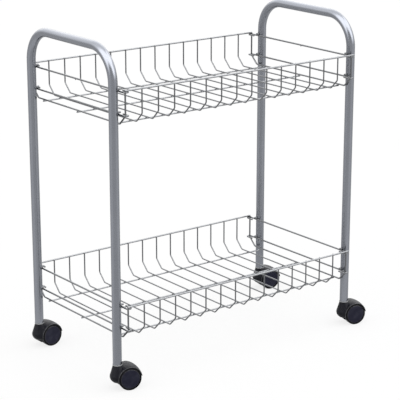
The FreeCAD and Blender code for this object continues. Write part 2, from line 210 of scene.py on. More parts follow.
class ShelfCasterSettings(bpy.types.PropertyGroup):
    """Shape of the wheels and of the hoods' lips."""
    wheel_inner: length_property("Wheel inner side", "From a caster's middle to a wheel's inside", 0.0062)
    wheel_outer: length_property("Wheel outer side", "From a caster's middle to a wheel's outer rim", 0.0165)
    tread_round: length_property("Tread rounding", "Rounding of the tread's edges", 0.0013)
    rim_width: length_property("Rim width", "Width of the raised ring round a wheel's face", 0.0009)
    groove_width: length_property("Groove width", "Width of the groove inside that ring", 0.0007)
    groove_depth: length_property("Groove depth", "Depth of that groove below the ring", 0.0011)
    face_round: length_property("Face rounding", "Rounding of the face's edge", 0.0009)
    face_recess: length_property("Face recess", "How deep a wheel's face lies inside its ring", 0.0004)
    face_dish: length_property("Face dish", "How far the face sinks towards its middle", 0.0005)
    tread_wall: length_property("Tread wall", "Thickness of the tread ring", 0.0029)
    hub_radius: length_property("Hub radius", "Radius of the hub on a wheel's inner side", 0.0055)
    face_wall: length_property("Face wall", "Thickness of a wheel's closed face", 0.002)
    wheel_steps: count_property("Wheel steps", "Facets round a wheel", 72, 16)
    face_steps: count_property("Face steps", "Rings of a wheel's dished face", 4, 1)
    lip_radius: length_property("Lip radius", "Radius of the lip along a hood's side edges", 0.00045)
    lip_reach: length_property("Lip reach", "From the axle to the middle of that lip", 0.02165)
    lip_side: length_property("Lip side", "From the caster's middle to that lip", 0.016)
    lip_front: angle_property("Lip front", "From the top to the lip's end at the nose", math.radians(-106))
    lip_rear: angle_property("Lip rear", "From the top to the lip's end behind", math.radians(82))
    nose_reach: length_property("Nose reach", "Radius of the nose's bottom edge", 0.0108)
    nose_height: length_property("Nose height", "Height of the nose's bottom edge above the floor", 0.0142)
    nose_offset: length_property("Nose offset", "From the stem back to the middle of the nose", 0.0028)
    nose_half_turn: angle_property("Nose half turn", "Reach of the nose's lip to each side", math.radians(60))
    lip_sides: count_property("Lip sides", "Facets round a hood's lip", 10, 6)
    lip_steps: count_property("Lip steps", "Rings along a hood's lip", 60, 8)
    sharp_angle: angle_property("Sharp edges", "Edges that turn more stay sharp", math.radians(28))


class ShelfFinishSettings(bpy.types.PropertyGroup):
    """Light and dark colours of the paints, plain and dusty colours of the plastics."""
    tube_light: colour_property("Tube light", "Light paint of the end frames", (0.212, 0.222, 0.249))
    tube_dark: colour_property("Tube dark", "Dark paint of the end frames", (0.174, 0.184, 0.207))
    # The bent wires' paint is the tubes' paint darkened: painted shade
    wire_light: colour_property("Wire light", "Light paint of the bent wires", (0.118, 0.122, 0.128))
    wire_dark: colour_property("Wire dark", "Dark paint of the bent wires", (0.095, 0.099, 0.105))
    # The straight wires' paint is the bent wires' paint made lighter: painted light
    rim_light: colour_property("Rim light", "Light paint of the straight wires", (0.182, 0.187, 0.195))
    rim_dark: colour_property("Rim dark", "Dark paint of the straight wires", (0.148, 0.153, 0.161))
    # The welds' and drops' paint is the wires' paint made lighter: painted highlight
    weld_light: colour_property("Weld light", "Light paint of the welds and drops", (0.26, 0.265, 0.275))
    weld_dark: colour_property("Weld dark", "Dark paint of the welds and drops", (0.18, 0.185, 0.195))
    pin_light: colour_property("Pin light", "Light places on the casters' steel pins", (0.62, 0.62, 0.61))
    pin_dark: colour_property("Pin dark", "Dark places on the casters' steel pins", (0.5, 0.5, 0.5))
    bush_plain: colour_property("Bush", "Plastic of the bushes", (0.27, 0.275, 0.28))
    bush_dusty: colour_property("Dusty bush", "Dusty places on the bushes", (0.32, 0.325, 0.33))
    hood_plain: colour_property("Hood", "Plastic of the hoods", (0.006, 0.0062, 0.0095))
    hood_dusty: colour_property("Dusty hood", "Dusty places on the hoods", (0.009, 0.0092, 0.0125))
    # The lips' lighter plastic is a painted highlight along the hoods' edges
    lip_plain: colour_property("Lip", "Plastic of the hoods' lips", (0.05, 0.05, 0.056))
    lip_dusty: colour_property("Dusty lip", "Dusty places on the hoods' lips", (0.085, 0.085, 0.09))
    wheel_plain: colour_property("Wheel face", "Plastic of the wheels' faces", (0.0125, 0.0127, 0.0265))
    wheel_dusty: colour_property("Dusty face", "Dusty places on the wheels' faces", (0.025, 0.0257, 0.0415))
    edge_plain: colour_property("Face edge", "Plastic of the faces' rounded edges", (0.014, 0.014, 0.019))
    edge_dusty: colour_property("Dusty edge", "Dusty places on those edges", (0.022, 0.022, 0.027))
    tread_plain: colour_property("Tread", "Plastic of the treads", (0.004, 0.004, 0.006))
    tread_dusty: colour_property("Dusty tread", "Dusty places on the treads", (0.009, 0.009, 0.011))


class ShelfStageSettings(bpy.types.PropertyGroup):
    """Camera, floor and light."""
    camera_place: FloatVectorProperty(
        name="Camera", description="Where the camera stands", default=(-1.6592, -2.1871, 1.0646),
        unit="LENGTH",
    )
    camera_yaw: angle_property("Camera yaw", "Turn of the view from +Y towards +X", 0.6528)
    camera_pitch: angle_property("Camera pitch", "Tilt of the view above the level", -0.2839)
    lens: FloatProperty(
        name="Lens", description="Focal length in millimetres", default=139.7, unit="CAMERA"
    )
    floor_size: length_property("Floor size", "Side of the square floor", 60.0)
    floor_white: FloatProperty(
        name="Floor white", description="Share of the floor that is white in any light", default=0.8,
        subtype="FACTOR",
    )
    fill_light: FloatProperty(
        name="Fill light", description="How strongly the surroundings light matt surfaces", default=0.31
    )
    key_light: FloatProperty(
        name="Key light", description="Strength of the light from the right", default=0.6
    )
    key_width: angle_property("Key width", "Angle across which the light from the right spreads", 0.6)


def settings():
    return bpy.context.scene.shelf_looks


# Shared shader effects

def new_group(name, sockets):
    """A shader node group with the given inputs and outputs, each (name, direction, type, default)."""
    group = bpy.data.node_groups.new(name, "ShaderNodeTree")
    for socket_name, direction, kind, default in sockets:
        socket = group.interface.new_socket(socket_name, in_out=direction, socket_type=kind)
        if default is not None:
            socket.default_value = default
    return group, group.nodes.new("NodeGroupInput"), group.nodes.new("NodeGroupOutput")


def add_node(tree, kind, **values):
    node = tree.nodes.new(kind)
    for name, value in values.items():
        setattr(node, name, value)
    return node


def noise(tree, coordinates, scale, detail):
    node = add_node(tree, "ShaderNodeTexNoise")
    node.inputs["Scale"].default_value = scale
    node.inputs["Detail"].default_value = detail
    tree.links.new(coordinates, node.inputs["Vector"])
    return node.outputs["Fac"]


def ramp(tree, value, low, high, start, end):
    """Maps a value from low..high to start..end."""
    node = add_node(tree, "ShaderNodeMapRange")
    node.inputs["From Min"].default_value = low
    node.inputs["From Max"].default_value = high
    node.inputs["To Min"].default_value = start
    node.inputs["To Max"].default_value = end
    tree.links.new(value, node.inputs["Value"])
    return node.outputs["Result"]


def mix_colours(tree, factor, first, second):
    node = add_node(tree, "ShaderNodeMix", data_type="RGBA")
    tree.links.new(factor, node.inputs["Factor"])
    for socket, value in (("A", first), ("B", second)):
        place = [item for item in node.inputs if item.name == socket and item.type == "RGBA"][0]
        tree.links.new(value, place)
    return [item for item in node.outputs if item.type == "RGBA"][0]


def mix_values(tree, factor, first, second):
    """Mixes two values, each a number or another node's output."""
    node = add_node(tree, "ShaderNodeMix", data_type="FLOAT")
    tree.links.new(factor, node.inputs["Factor"])
    for socket, value in (("A", first), ("B", second)):
        if isinstance(value, float):
            node.inputs[socket].default_value = value
        else:
            tree.links.new(value, node.inputs[socket])
    return node.outputs["Result"]


def bump(tree, height, distance):
    node = add_node(tree, "ShaderNodeBump")
    node.inputs["Distance"].default_value = distance
    tree.links.new(height, node.inputs["Height"])
    return node


def fill_outputs(group, outputs, colour, roughness, normal):
    for name, value in (("Colour", colour), ("Roughness", roughness), ("Normal", normal)):
        group.links.new(value, outputs.inputs[name])


def paint_group():
    """Sprayed metallic paint: fine flakes, slow clouding and a faint orange-peel skin."""
    group, inputs, outputs = new_group("Sprayed Paint", [
        ("Light", "INPUT", "NodeSocketColor", (0.3, 0.32, 0.35, 1)),
        ("Dark", "INPUT", "NodeSocketColor", (0.22, 0.24, 0.27, 1)),
        ("Smooth", "INPUT", "NodeSocketFloat", 0.3),
        ("Rough", "INPUT", "NodeSocketFloat", 0.45),
        ("Colour", "OUTPUT", "NodeSocketColor", None),
        ("Roughness", "OUTPUT", "NodeSocketFloat", None),
        ("Normal", "OUTPUT", "NodeSocketVector", None),
    ])
    place = add_node(group, "ShaderNodeTexCoord").outputs["Object"]
    clouds = noise(group, place, *PAINT_CLOUDS)
    light = add_node(group, "ShaderNodeMath", operation="MULTIPLY_ADD")
    group.links.new(noise(group, place, *PAINT_FLAKES), light.inputs[0])
    light.inputs[1].default_value = FLAKE_SHARE
    group.links.new(ramp(group, clouds, *CLOUD_LIMITS, 0.0, CLOUD_SHARE), light.inputs[2])
    colour = mix_colours(group, light.outputs[0], inputs.outputs["Dark"], inputs.outputs["Light"])
    roughness = mix_values(group, clouds, inputs.outputs["Smooth"], inputs.outputs["Rough"])
    skin = bump(group, noise(group, place, *PAINT_SKIN), SKIN_DEPTH)
    skin.inputs["Strength"].default_value = SKIN_STRENGTH
    fill_outputs(group, outputs, colour, roughness, skin.outputs["Normal"])
    return group


def moulded_group():
    """Moulded plastic: a fine spark-eroded grain, slow sheen changes and rubbed, dusty patches."""
    group, inputs, outputs = new_group("Moulded Plastic", [
        ("Plain", "INPUT", "NodeSocketColor", (0.01, 0.011, 0.013, 1)),
        ("Dusty", "INPUT", "NodeSocketColor", (0.03, 0.032, 0.035, 1)),
        ("Smooth", "INPUT", "NodeSocketFloat", 0.35),
        ("Rough", "INPUT", "NodeSocketFloat", 0.55),
        ("Grain", "INPUT", "NodeSocketFloat", 1.0),
        ("Colour", "OUTPUT", "NodeSocketColor", None),
        ("Roughness", "OUTPUT", "NodeSocketFloat", None),
        ("Normal", "OUTPUT", "NodeSocketVector", None),
    ])
    place = add_node(group, "ShaderNodeTexCoord").outputs["Object"]
    patches = ramp(group, noise(group, place, *PLASTIC_PATCHES), *PATCH_LIMITS, 0.0, 1.0)
    colour = mix_colours(group, patches, inputs.outputs["Plain"], inputs.outputs["Dusty"])
    roughness = mix_values(group, patches, inputs.outputs["Smooth"], inputs.outputs["Rough"])
    grain = bump(group, noise(group, place, *PLASTIC_GRAIN), GRAIN_DEPTH)
    group.links.new(inputs.outputs["Grain"], grain.inputs["Strength"])
    fill_outputs(group, outputs, colour, roughness, grain.outputs["Normal"])
    return group


def effect(name, maker):
    return bpy.data.node_groups.get(name) or maker()


def new_material(name):
    """A material and its Principled shader, whose even values are set on its own sockets."""
    material = bpy.data.materials.new(name)
    material.use_nodes = True
    return material, material.node_tree.nodes["Principled BSDF"]


def finish_colour(name):
    return (*getattr(settings().finishes, name), 1)


def connect_effect(material, shader, group, values):
    node = add_node(material.node_tree, "ShaderNodeGroup", node_tree=group)
    for name, value in values.items():
        node.inputs[name].default_value = value
    for source, target in (("Colour", "Base Color"), ("Roughness", "Roughness"), ("Normal", "Normal")):
        material.node_tree.links.new(node.outputs[source], shader.inputs[target])
    return material


def paint(name, colours, smooth, rough, metallic, lacquer):
    """Paint or bare steel, with a clear lacquer on it where there is one."""
    material, shader = new_material(name)
    shader.inputs["Metallic"].default_value = metallic
    shader.inputs["Specular Tint"].default_value = (*PAINT_EDGE, 1)
    shader.inputs["Coat Weight"].default_value = lacquer
    shader.inputs["Coat Roughness"].default_value = LACQUER_ROUGHNESS
    values = {
        "Light": finish_colour(f"{colours}_light"), "Dark": finish_colour(f"{colours}_dark"),
        "Smooth": smooth, "Rough": rough,
    }
    return connect_effect(material, shader, effect("Sprayed Paint", paint_group), values)


def plastic(name, colours, smooth, rough, grain, specular):
    """Moulded plastic with its own grain and gloss."""
    material, shader = new_material(name)
    shader.inputs["Specular IOR Level"].default_value = specular
    values = {
        "Plain": finish_colour(f"{colours}_plain"), "Dusty": finish_colour(f"{colours}_dusty"),
        "Smooth": smooth, "Rough": rough, "Grain": grain,
    }
    return connect_effect(material, shader, effect("Moulded Plastic", moulded_group), values)


def surface(finish):
    """A finish, made the first time that a piece asks for it."""
    made = bpy.data.materials.get(finish)
    if made:
        return made
    if finish in PAINTS:
        return paint(finish, **PAINTS[finish])
    return plastic(finish, **PLASTICS[finish])


# Mesh building

def finish_piece(name, mesh, body, nodes, finishes, sharp):
    """Links a mesh as a piece that rides on a body, stands for its nodes and carries its finishes."""
    for finish in finishes:
        mesh.materials.append(surface(finish))
    mesh.shade_smooth()
    mesh.set_sharp_from_angle(angle=sharp)
    piece = bpy.data.objects.new(name, mesh)
    bpy.context.scene.collection.objects.link(piece)
    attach(piece, body)
    if nodes:
        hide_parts(*nodes)


def mesh_from(name, builder):
    mesh = bpy.data.meshes.new(name)
    build = bmesh.new()
    builder(build)
    bmesh.ops.recalc_face_normals(build, faces=build.faces)
    build.to_mesh(mesh)
    build.free()
    return mesh


def rounded_path(points, radius, steps):
    """The points of straight runs whose corners are replaced by arcs."""
    path = [points[0]]
    for before, corner, after in zip(points, points[1:], points[2:]):
        back = (before - corner).normalized()
        ahead = (after - corner).normalized()
        half_turn = (math.pi - back.angle(ahead)) / 2
        reach = radius * math.tan(half_turn)
        middle = corner + (back + ahead).normalized() * (radius / math.cos(half_turn))
        start = corner + back * reach - middle
        axis = ahead.cross(back)
        turns = [Matrix.Rotation(2 * half_turn * step / steps, 3, axis) for step in range(steps + 1)]
        path += [middle + turn @ start for turn in turns]
    return path + [points[-1]]


def ring(build, place, direction, side, radius, sides):
    other = direction.cross(side).normalized()
    turns = [2 * math.pi * number / sides for number in range(sides)]
    return [build.verts.new(place + (side * math.cos(t) + other * math.sin(t)) * radius) for t in turns]


def bridge(build, first, second, material=0):
    count = len(first)
    for number in range(count):
        after = (number + 1) % count
        face = build.faces.new((first[number], first[after], second[after], second[number]))
        face.material_index = material


def sweep(build, path, radius, sides, end_round):
    """A round wire along a path, with softened cut ends."""
    directions = [(b - a).normalized() for a, b in zip(path, path[1:])]
    tangents = [directions[0]]
    tangents += [(a + b).normalized() for a, b in zip(directions, directions[1:])]
    tangents.append(directions[-1])
    side = tangents[0].orthogonal().normalized()
    stations = []
    for place, tangent in zip(path, tangents):
        side = (side - tangent * side.dot(tangent)).normalized()
        stations.append((place, tangent, side, radius))
    if end_round:
        place, tangent, side, _ = stations[0]
        stations[0] = (place + tangent * end_round, tangent, side, radius)
        stations.insert(0, (place, tangent, side, radius - end_round))
        place, tangent, side, _ = stations[-1]
        stations[-1] = (place - tangent * end_round, tangent, side, radius)
        stations.append((place, tangent, side, radius - end_round))
    rings = [ring(build, place, tangent, side, wide, sides) for place, tangent, side, wide in stations]
    for first, second in zip(rings, rings[1:]):
        bridge(build, first, second)
    build.faces.new(rings[0])
    build.faces.new(rings[-1])


def lathe(build, profile, centre, axis, steps, materials):
    """A profile of (along the axis, radius) turned about the axis, with one material number per band."""
    side = axis.orthogonal().normalized()
    rings = []
    for along, radius in profile:
        if radius == 0:
            rings.append([build.verts.new(centre + axis * along)])
        else:
            rings.append(ring(build, centre + axis * along, axis, side, radius, steps))
    for first, second, material in zip(rings, rings[1:], materials):
        if len(first) == 1 or len(second) == 1:
            tip, circle = (first[0], second) if len(first) == 1 else (second[0], first)
            for number in range(steps):
                face = build.faces.new((tip, circle[number], circle[(number + 1) % steps]))
                face.material_index = material
        else:
            bridge(build, first, second, material)


def middle_of(node):
    low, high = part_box(node)
    return (low + high) / 2


def wire_radius(node):
    low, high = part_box(node)
    return min(high - low) / 2


# The end frames

def tube_points(node):
    """Corners of the tube's centre line, up one post, along the bar and down the other."""
    low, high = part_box(node)
    radius = (high.x - low.x) / 2
    x = (low.x + high.x) / 2
    post = high.y - radius
    bar = high.z - radius
    corners = [(-post, low.z), (-post, bar), (post, bar), (post, low.z)]
    return [Vector((x, y, z)) for y, z in corners], radius


class SHELF_OT_frame_tubes(bpy.types.Operator):
    """Build the two painted end frames"""
    bl_idname = "shelf.frame_tubes"
    bl_label = "Frame Tubes"

    def execute(self, context):
        shape = settings().frame_shape
        for end in ENDS:
            node = f"{end}_frame_tube"
            corners, radius = tube_points(node)
            path = rounded_path(corners, shape.bend_radius, shape.bend_steps)
            mesh = mesh_from(node, lambda build: sweep(build, path, radius, shape.tube_sides, 0))
            finish_piece(f"{end}_frame", mesh, "frame", [node], ["silver_tube"], TUBE_SHARP)
        return {"FINISHED"}


# The baskets

def straight_wire(node, trim):
    low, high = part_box(node)
    middle = (low + high) / 2
    return [Vector((low.x + trim, middle.y, middle.z)), Vector((high.x - trim, middle.y, middle.z))]


def end_wire_points(node, side):
    """Corners of an end wire: a hooked end, the long run and the other hooked end."""
    shape = settings().wires
    low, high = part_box(node)
    radius = wire_radius(node)
    outer = (high.x if side > 0 else low.x) - side * radius
    inner = (low.x if side > 0 else high.x) + side * radius
    depth = high.y - radius
    tip = depth - shape.hairpin_return
    z = (low.z + high.z) / 2
    corners = [
        (inner, -tip), (inner, -depth), (outer, -depth), (outer, depth), (inner, depth), (inner, tip),
    ]
    return [Vector((x, y, z)) for x, y in corners]


def rib_points(node, x, radius):
    """Corners of a rib: upright, slant, floor, slant and upright."""
    shape = settings().wires
    low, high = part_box(node)
    wall = high.y - radius
    floor = low.z + radius
    kink = high.z - shape.wall_height
    inner = wall - shape.slant_inset
    corners = [
        (-wall, high.z), (-wall, kink), (-inner, floor), (inner, floor), (wall, kink), (wall, high.z),
    ]
    return [Vector((x, y, z)) for y, z in corners]


def thin_rib_places(tier):
    shape = settings().wires
    low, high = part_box(f"{tier}_ribs")
    first = low.x + shape.rib_wire / 2
    last = high.x - shape.rib_wire / 2
    return [first + (last - first) * number / (shape.rib_count - 1) for number in range(shape.rib_count)]


def peg_lines(tier):
    """The centre lines of a basket's pegs, from the tip over the end wire to the end inside the tube."""
    shape = settings().wires
    wire = f"{tier}_left_top_wire"
    low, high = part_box(f"{tier}_hook_pegs")
    radius = (high.z - middle_of(wire).z - wire_radius(wire)) / 2
    lines = []
    for side in ENDS.values():
        for y in (low.y + radius, high.y - radius):
            for z in (low.z + radius, high.z - radius):
                end = Vector((side * high.x, y, z))
                lines.append([end - ALONG * side * shape.peg_length, end])
    return lines, radius


# A wire takes the darkened paint, painted shade, unless another finish is given
def wire_piece(name, node, paths, radius, finish="silver_wire_painted_shade"):
    shape = settings().wires

    def build_wires(build):
        for path in paths:
            sweep(build, path, radius, shape.wire_sides, shape.end_round)

    mesh = mesh_from(name, build_wires)
    finish_piece(name, mesh, "frame", [node], [finish], WIRE_SHARP)


class SHELF_OT_straight_wires(bpy.types.Operator):
    """Build the rims and the floor wires of both baskets"""
    bl_idname = "shelf.straight_wires"
    bl_label = "Rims and Floor Wires"

    def execute(self, context):
        trims = {part: 0 for part in RIMS}
        trims.update({part: settings().wires.floor_wire_trim for part in FLOOR_WIRES})
        for tier in TIERS:
            for part, trim in trims.items():
                node = f"{tier}_{part}"
                path = straight_wire(node, trim)
                # Rims and floor wires get the lighter paint: painted light
                wire_piece(f"{node}_bar", node, [path], wire_radius(node), "silver_rim_painted_light")
        return {"FINISHED"}


class SHELF_OT_ribs(bpy.types.Operator):
    """Build the bent ribs of both baskets"""
    bl_idname = "shelf.ribs"
    bl_label = "Ribs"

    def execute(self, context):
        shape = settings().wires
        for tier in TIERS:
            node = f"{tier}_ribs"
            radius = shape.rib_wire / 2
            corners = [rib_points(node, x, radius) for x in thin_rib_places(tier)]
            paths = [rounded_path(points, shape.rib_bend, shape.bend_steps) for points in corners]
            wire_piece(f"{tier}_bent_ribs", node, paths, radius)
            for end in ENDS:
                node = f"{tier}_{end}_end_rib"
                radius = shape.end_rib_wire / 2
                points = rib_points(node, middle_of(node).x, radius)
                path = rounded_path(points, shape.rib_bend, shape.bend_steps)
                wire_piece(f"{node}_bent", node, [path], radius)
        return {"FINISHED"}


class SHELF_OT_end_wires(bpy.types.Operator):
    """Build the hooked end wires of both baskets"""
    bl_idname = "shelf.end_wires"
    bl_label = "End Wires"

    def execute(self, context):
        shape = settings().wires
        for tier in TIERS:
            for end, side in ENDS.items():
                for level in LEVELS:
                    node = f"{tier}_{end}_{level}_wire"
                    path = rounded_path(end_wire_points(node, side), shape.hairpin_bend, shape.bend_steps)
                    wire_piece(f"{node}_hooked", node, [path], wire_radius(node))
        return {"FINISHED"}


class SHELF_OT_pegs(bpy.types.Operator):
    """Build the pegs that plug the baskets into the frame"""
    bl_idname = "shelf.pegs"
    bl_label = "Pegs"

    def execute(self, context):
        for tier in TIERS:
            lines, radius = peg_lines(tier)
            wire_piece(f"{tier}_pegs", f"{tier}_hook_pegs", lines, radius)
        return {"FINISHED"}


def weld_places(tier):
    """Where wires of a basket are welded, each with the directions of the two wires that cross there."""
    ribs = [(x, f"{tier}_ribs") for x in thin_rib_places(tier)]
    for end in ENDS:
        node = f"{tier}_{end}_end_rib"
        ribs.append((middle_of(node).x, node))
    places = []
    for x, node in ribs:
        for rim in RIMS:
            centre = middle_of(f"{tier}_{rim}")
            inward = -math.copysign(wire_radius(f"{tier}_{rim}"), centre.y)
            places.append((Vector((x, centre.y + inward, centre.z)), ALONG, UP))
        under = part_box(node)[0].z
        for wire in FLOOR_WIRES:
            places.append((Vector((x, middle_of(f"{tier}_{wire}").y, under)), ALONG, ACROSS))
    for end, side in ENDS.items():
        x = middle_of(f"{tier}_{end}_end_rib").x
        for level in LEVELS:
            node = f"{tier}_{end}_{level}_wire"
            corner = end_wire_points(node, side)[2]
            depth = abs(corner.y) - wire_radius(node)
            places += [(Vector((x, y, corner.z)), ALONG, UP) for y in (-depth, depth)]
    lines, radius = peg_lines(tier)
    wire = f"{tier}_right_top_wire"
    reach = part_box(wire)[1].x - wire_radius(wire)
    for _, end in lines:
        places.append((Vector((math.copysign(reach, end.x), end.y, end.z - radius)), ALONG, ACROSS))
    return places


class SHELF_OT_welds(bpy.types.Operator):
    """Build the small weld swellings where wires cross"""
    bl_idname = "shelf.welds"
    bl_label = "Welds"

    def execute(self, context):
        bulge = settings().wires.weld_bulge
        spread = Matrix.Diagonal((*WELD_SPREAD, 1.0))
        for tier in TIERS:

            def build_welds(build):
                for place, first, second in weld_places(tier):
                    turn = Matrix((first, second, first.cross(second))).transposed().to_4x4()
                    bmesh.ops.create_uvsphere(
                        build, u_segments=WELD_SEGMENTS, v_segments=WELD_RINGS, radius=bulge,
                        matrix=Matrix.Translation(place) @ turn @ spread,
                    )

            mesh = mesh_from(f"{tier}_welds", build_welds)
            finish_piece(f"{tier}_welds", mesh, "frame", [], ["silver_weld_painted_light"], BLOB_SHARP)
        return {"FINISHED"}


class SHELF_OT_drops(bpy.types.Operator):
    """Build the dried paint drops that hang under the upper basket's top end wires"""
    bl_idname = "shelf.drops"
    bl_label = "Paint Drops"

    def execute(self, context):
        size = settings().wires.drop_radius
        profile = [(along * size, radius * size) for along, radius in DROP_PROFILE]
        materials = [0] * (len(profile) - 1)

        def build_drops(build):
            for end, side in ENDS.items():
                node = f"upper_{end}_top_wire"
                outer = end_wire_points(node, side)[2]
                place = Vector((outer.x, 0, outer.z - wire_radius(node)))
                lathe(build, profile, place, UP, DROP_STEPS, materials)

        mesh = mesh_from("paint_drops", build_drops)
        finish_piece("upper_paint_drops", mesh, "frame", [], ["silver_weld_painted_light"], BLOB_SHARP)
        return {"FINISHED"}


# The casters

def smooth_copy(node, name, body, finish):
    """A smoothly shaded piece with a node's own shape."""
    build = bmesh.new()
    build.from_mesh(frame["nodes"][node].data)
    bmesh.ops.remove_doubles(build, verts=build.verts, dist=SAME_PLACE)
    mesh = bpy.data.meshes.new(name)
    build.to_mesh(mesh)
    build.free()
    finish_piece(name, mesh, body, [node], [finish], settings().casters.sharp_angle)


def joint_named(name):
    matches = [joint for joint in frame["joints"] if joint["name"] == name]
    if not matches:
        raise RuntimeError(f"the packed model has no joint {name}")
    return matches[0]


def rounded_corner(across, radius, size, outward):
    """Profile points round a wheel's edge, from its side face to its tread."""
    turns = [math.pi / 2 * step / CORNER_STEPS for step in range(CORNER_STEPS + 1)]
    middle = across - outward * size
    return [(middle + outward * size * math.cos(t), radius - size + size * math.sin(t)) for t in turns]


def wheel_profile(shape, radius):
    """Bands of a wheel from its blind hub over its inner side and tread to its face, and their finishes."""
    inner, outer = shape.wheel_inner, shape.wheel_outer
    face = outer - shape.face_recess
    back = face - shape.face_wall
    tread_inside = radius - shape.tread_wall
    hollow = [(inner, 0), (inner, shape.hub_radius), (back, shape.hub_radius), (back, tread_inside)]
    tread = [(inner, tread_inside)]
    tread += rounded_corner(inner, radius, shape.tread_round, -1)
    tread += reversed(rounded_corner(outer, radius, shape.tread_round, 1))
    rim_inside = radius - shape.tread_round - shape.rim_width
    disc_edge = rim_inside - shape.groove_width
    floor = outer - shape.groove_depth
    groove = [(outer, rim_inside), (floor, rim_inside), (floor, disc_edge)]
    rounded_edge = list(reversed(rounded_corner(face, disc_edge, shape.face_round, 1)))
    inside = disc_edge - shape.face_round
    shares = [1 - (step + 1) / shape.face_steps for step in range(shape.face_steps)]
    dish = [(face - shape.face_dish * (1 - share * share), inside * share) for share in shares]
    outside = hollow + tread + groove
    materials = [TREAD] * (len(outside) - 1) + [EDGE] * len(rounded_edge) + [FACE] * len(dish)
    return outside + rounded_edge + dish, materials


class SHELF_OT_wheels(bpy.types.Operator):
    """Build the twin wheels of the casters"""
    bl_idname = "shelf.wheels"
    bl_label = "Wheels"

    def execute(self, context):
        shape = settings().casters
        for caster in CASTERS:
            for place, side in WHEELS.items():
                joint = joint_named(f"{caster}_{place}_wheel_spin")
                centre = Vector(joint["pos_m"])
                axis = Vector(joint["axis"]) * side
                bands, materials = wheel_profile(shape, centre.z)
                name = f"{caster}_{place}_roller"
                mesh = mesh_from(
                    name, lambda build: lathe(build, bands, centre, axis, shape.wheel_steps, materials)
                )
                node = f"{caster}_{place}_wheel"
                finish_piece(
                    name, mesh, joint["child"], [node], WHEEL_FINISHES, shape.sharp_angle
                )
        return {"FINISHED"}


def lip_paths(caster):
    """Centre lines of the lips along both side edges of a hood and round the bottom of its nose."""
    shape = settings().casters
    joint = joint_named(f"{caster}_front_wheel_spin")
    centre = Vector(joint["pos_m"])
    axis = Vector(joint["axis"])
    trail = centre - middle_of(f"{caster}_stem")
    trail.z = 0
    trail.normalize()
    shares = [step / shape.lip_steps for step in range(shape.lip_steps + 1)]
    turns = [shape.lip_front + (shape.lip_rear - shape.lip_front) * share for share in shares]
    arc = [(UP * math.cos(turn) + trail * math.sin(turn)) * shape.lip_reach for turn in turns]
    paths = []
    for side in WHEELS.values():
        paths.append([centre + axis * side * shape.lip_side + place for place in arc])
    middle = middle_of(f"{caster}_stem") + trail * shape.nose_offset
    middle.z = shape.nose_height
    turns = [shape.nose_half_turn * (2 * share - 1) for share in shares]
    arc = [(axis * math.sin(turn) - trail * math.cos(turn)) * shape.nose_reach for turn in turns]
    paths.append([middle + place for place in arc])
    return paths


def lip_piece(caster):
    shape = settings().casters

    def build_lips(build):
        for path in lip_paths(caster):
            sweep(build, path, shape.lip_radius, shape.lip_sides, shape.lip_radius / 2)

    name = f"{caster}_lips"
    mesh = mesh_from(name, build_lips)
    # The lips carry a lighter plastic: painted highlight along the hood's edges
    finish_piece(name, mesh, f"{caster}_swivel", [], ["lip_painted_highlight"], BLOB_SHARP)


class SHELF_OT_hoods(bpy.types.Operator):
    """Build the caster hoods and the bushes in the tube ends, and dress their steel pins"""
    bl_idname = "shelf.hoods"
    bl_label = "Hoods"

    def execute(self, context):
        for caster in CASTERS:
            swivel = f"{caster}_swivel"
            smooth_copy(f"{caster}_hood", f"{caster}_cover", swivel, "black_hood")
            lip_piece(caster)
            smooth_copy(f"{caster}_tube_insert", f"{caster}_bush", "frame", "grey_bush")
            for part in PINS:
                node = frame["nodes"][f"{caster}_{part}"]
                node.data.materials.clear()
                node.data.materials.append(surface("bare_pin"))
        return {"FINISHED"}


# The stage

def background_rays(tree):
    """1 for the rays that show the background: straight from the camera, mirrored and seen through."""
    rays = add_node(tree, "ShaderNodeLightPath")
    seen = rays.outputs["Is Camera Ray"]
    for other in ("Is Glossy Ray", "Is Transmission Ray"):
        either = add_node(tree, "ShaderNodeMath", operation="MAXIMUM")
        tree.links.new(seen, either.inputs[0])
        tree.links.new(rays.outputs[other], either.inputs[1])
        seen = either.outputs[0]
    return seen


def front_ramp(tree, direction, stops):
    """Brightness by how far a direction points to the front, from (frontness, brightness) stops."""
    frontness = add_node(tree, "ShaderNodeVectorMath", operation="DOT_PRODUCT")
    frontness.inputs[1].default_value = FRONT_SIDE
    tree.links.new(direction, frontness.inputs[0])
    node = add_node(tree, "ShaderNodeValToRGB")
    elements = node.color_ramp.elements
    while len(elements) < len(stops):
        elements.new(0.5)
    for element, (place, brightness) in zip(elements, stops):
        element.position = (place + 1) / 2
        element.color = (brightness, brightness, brightness, 1)
    tree.links.new(ramp(tree, frontness.outputs["Value"], -1.0, 1.0, 0.0, 1.0), node.inputs["Fac"])
    return node.outputs["Color"]


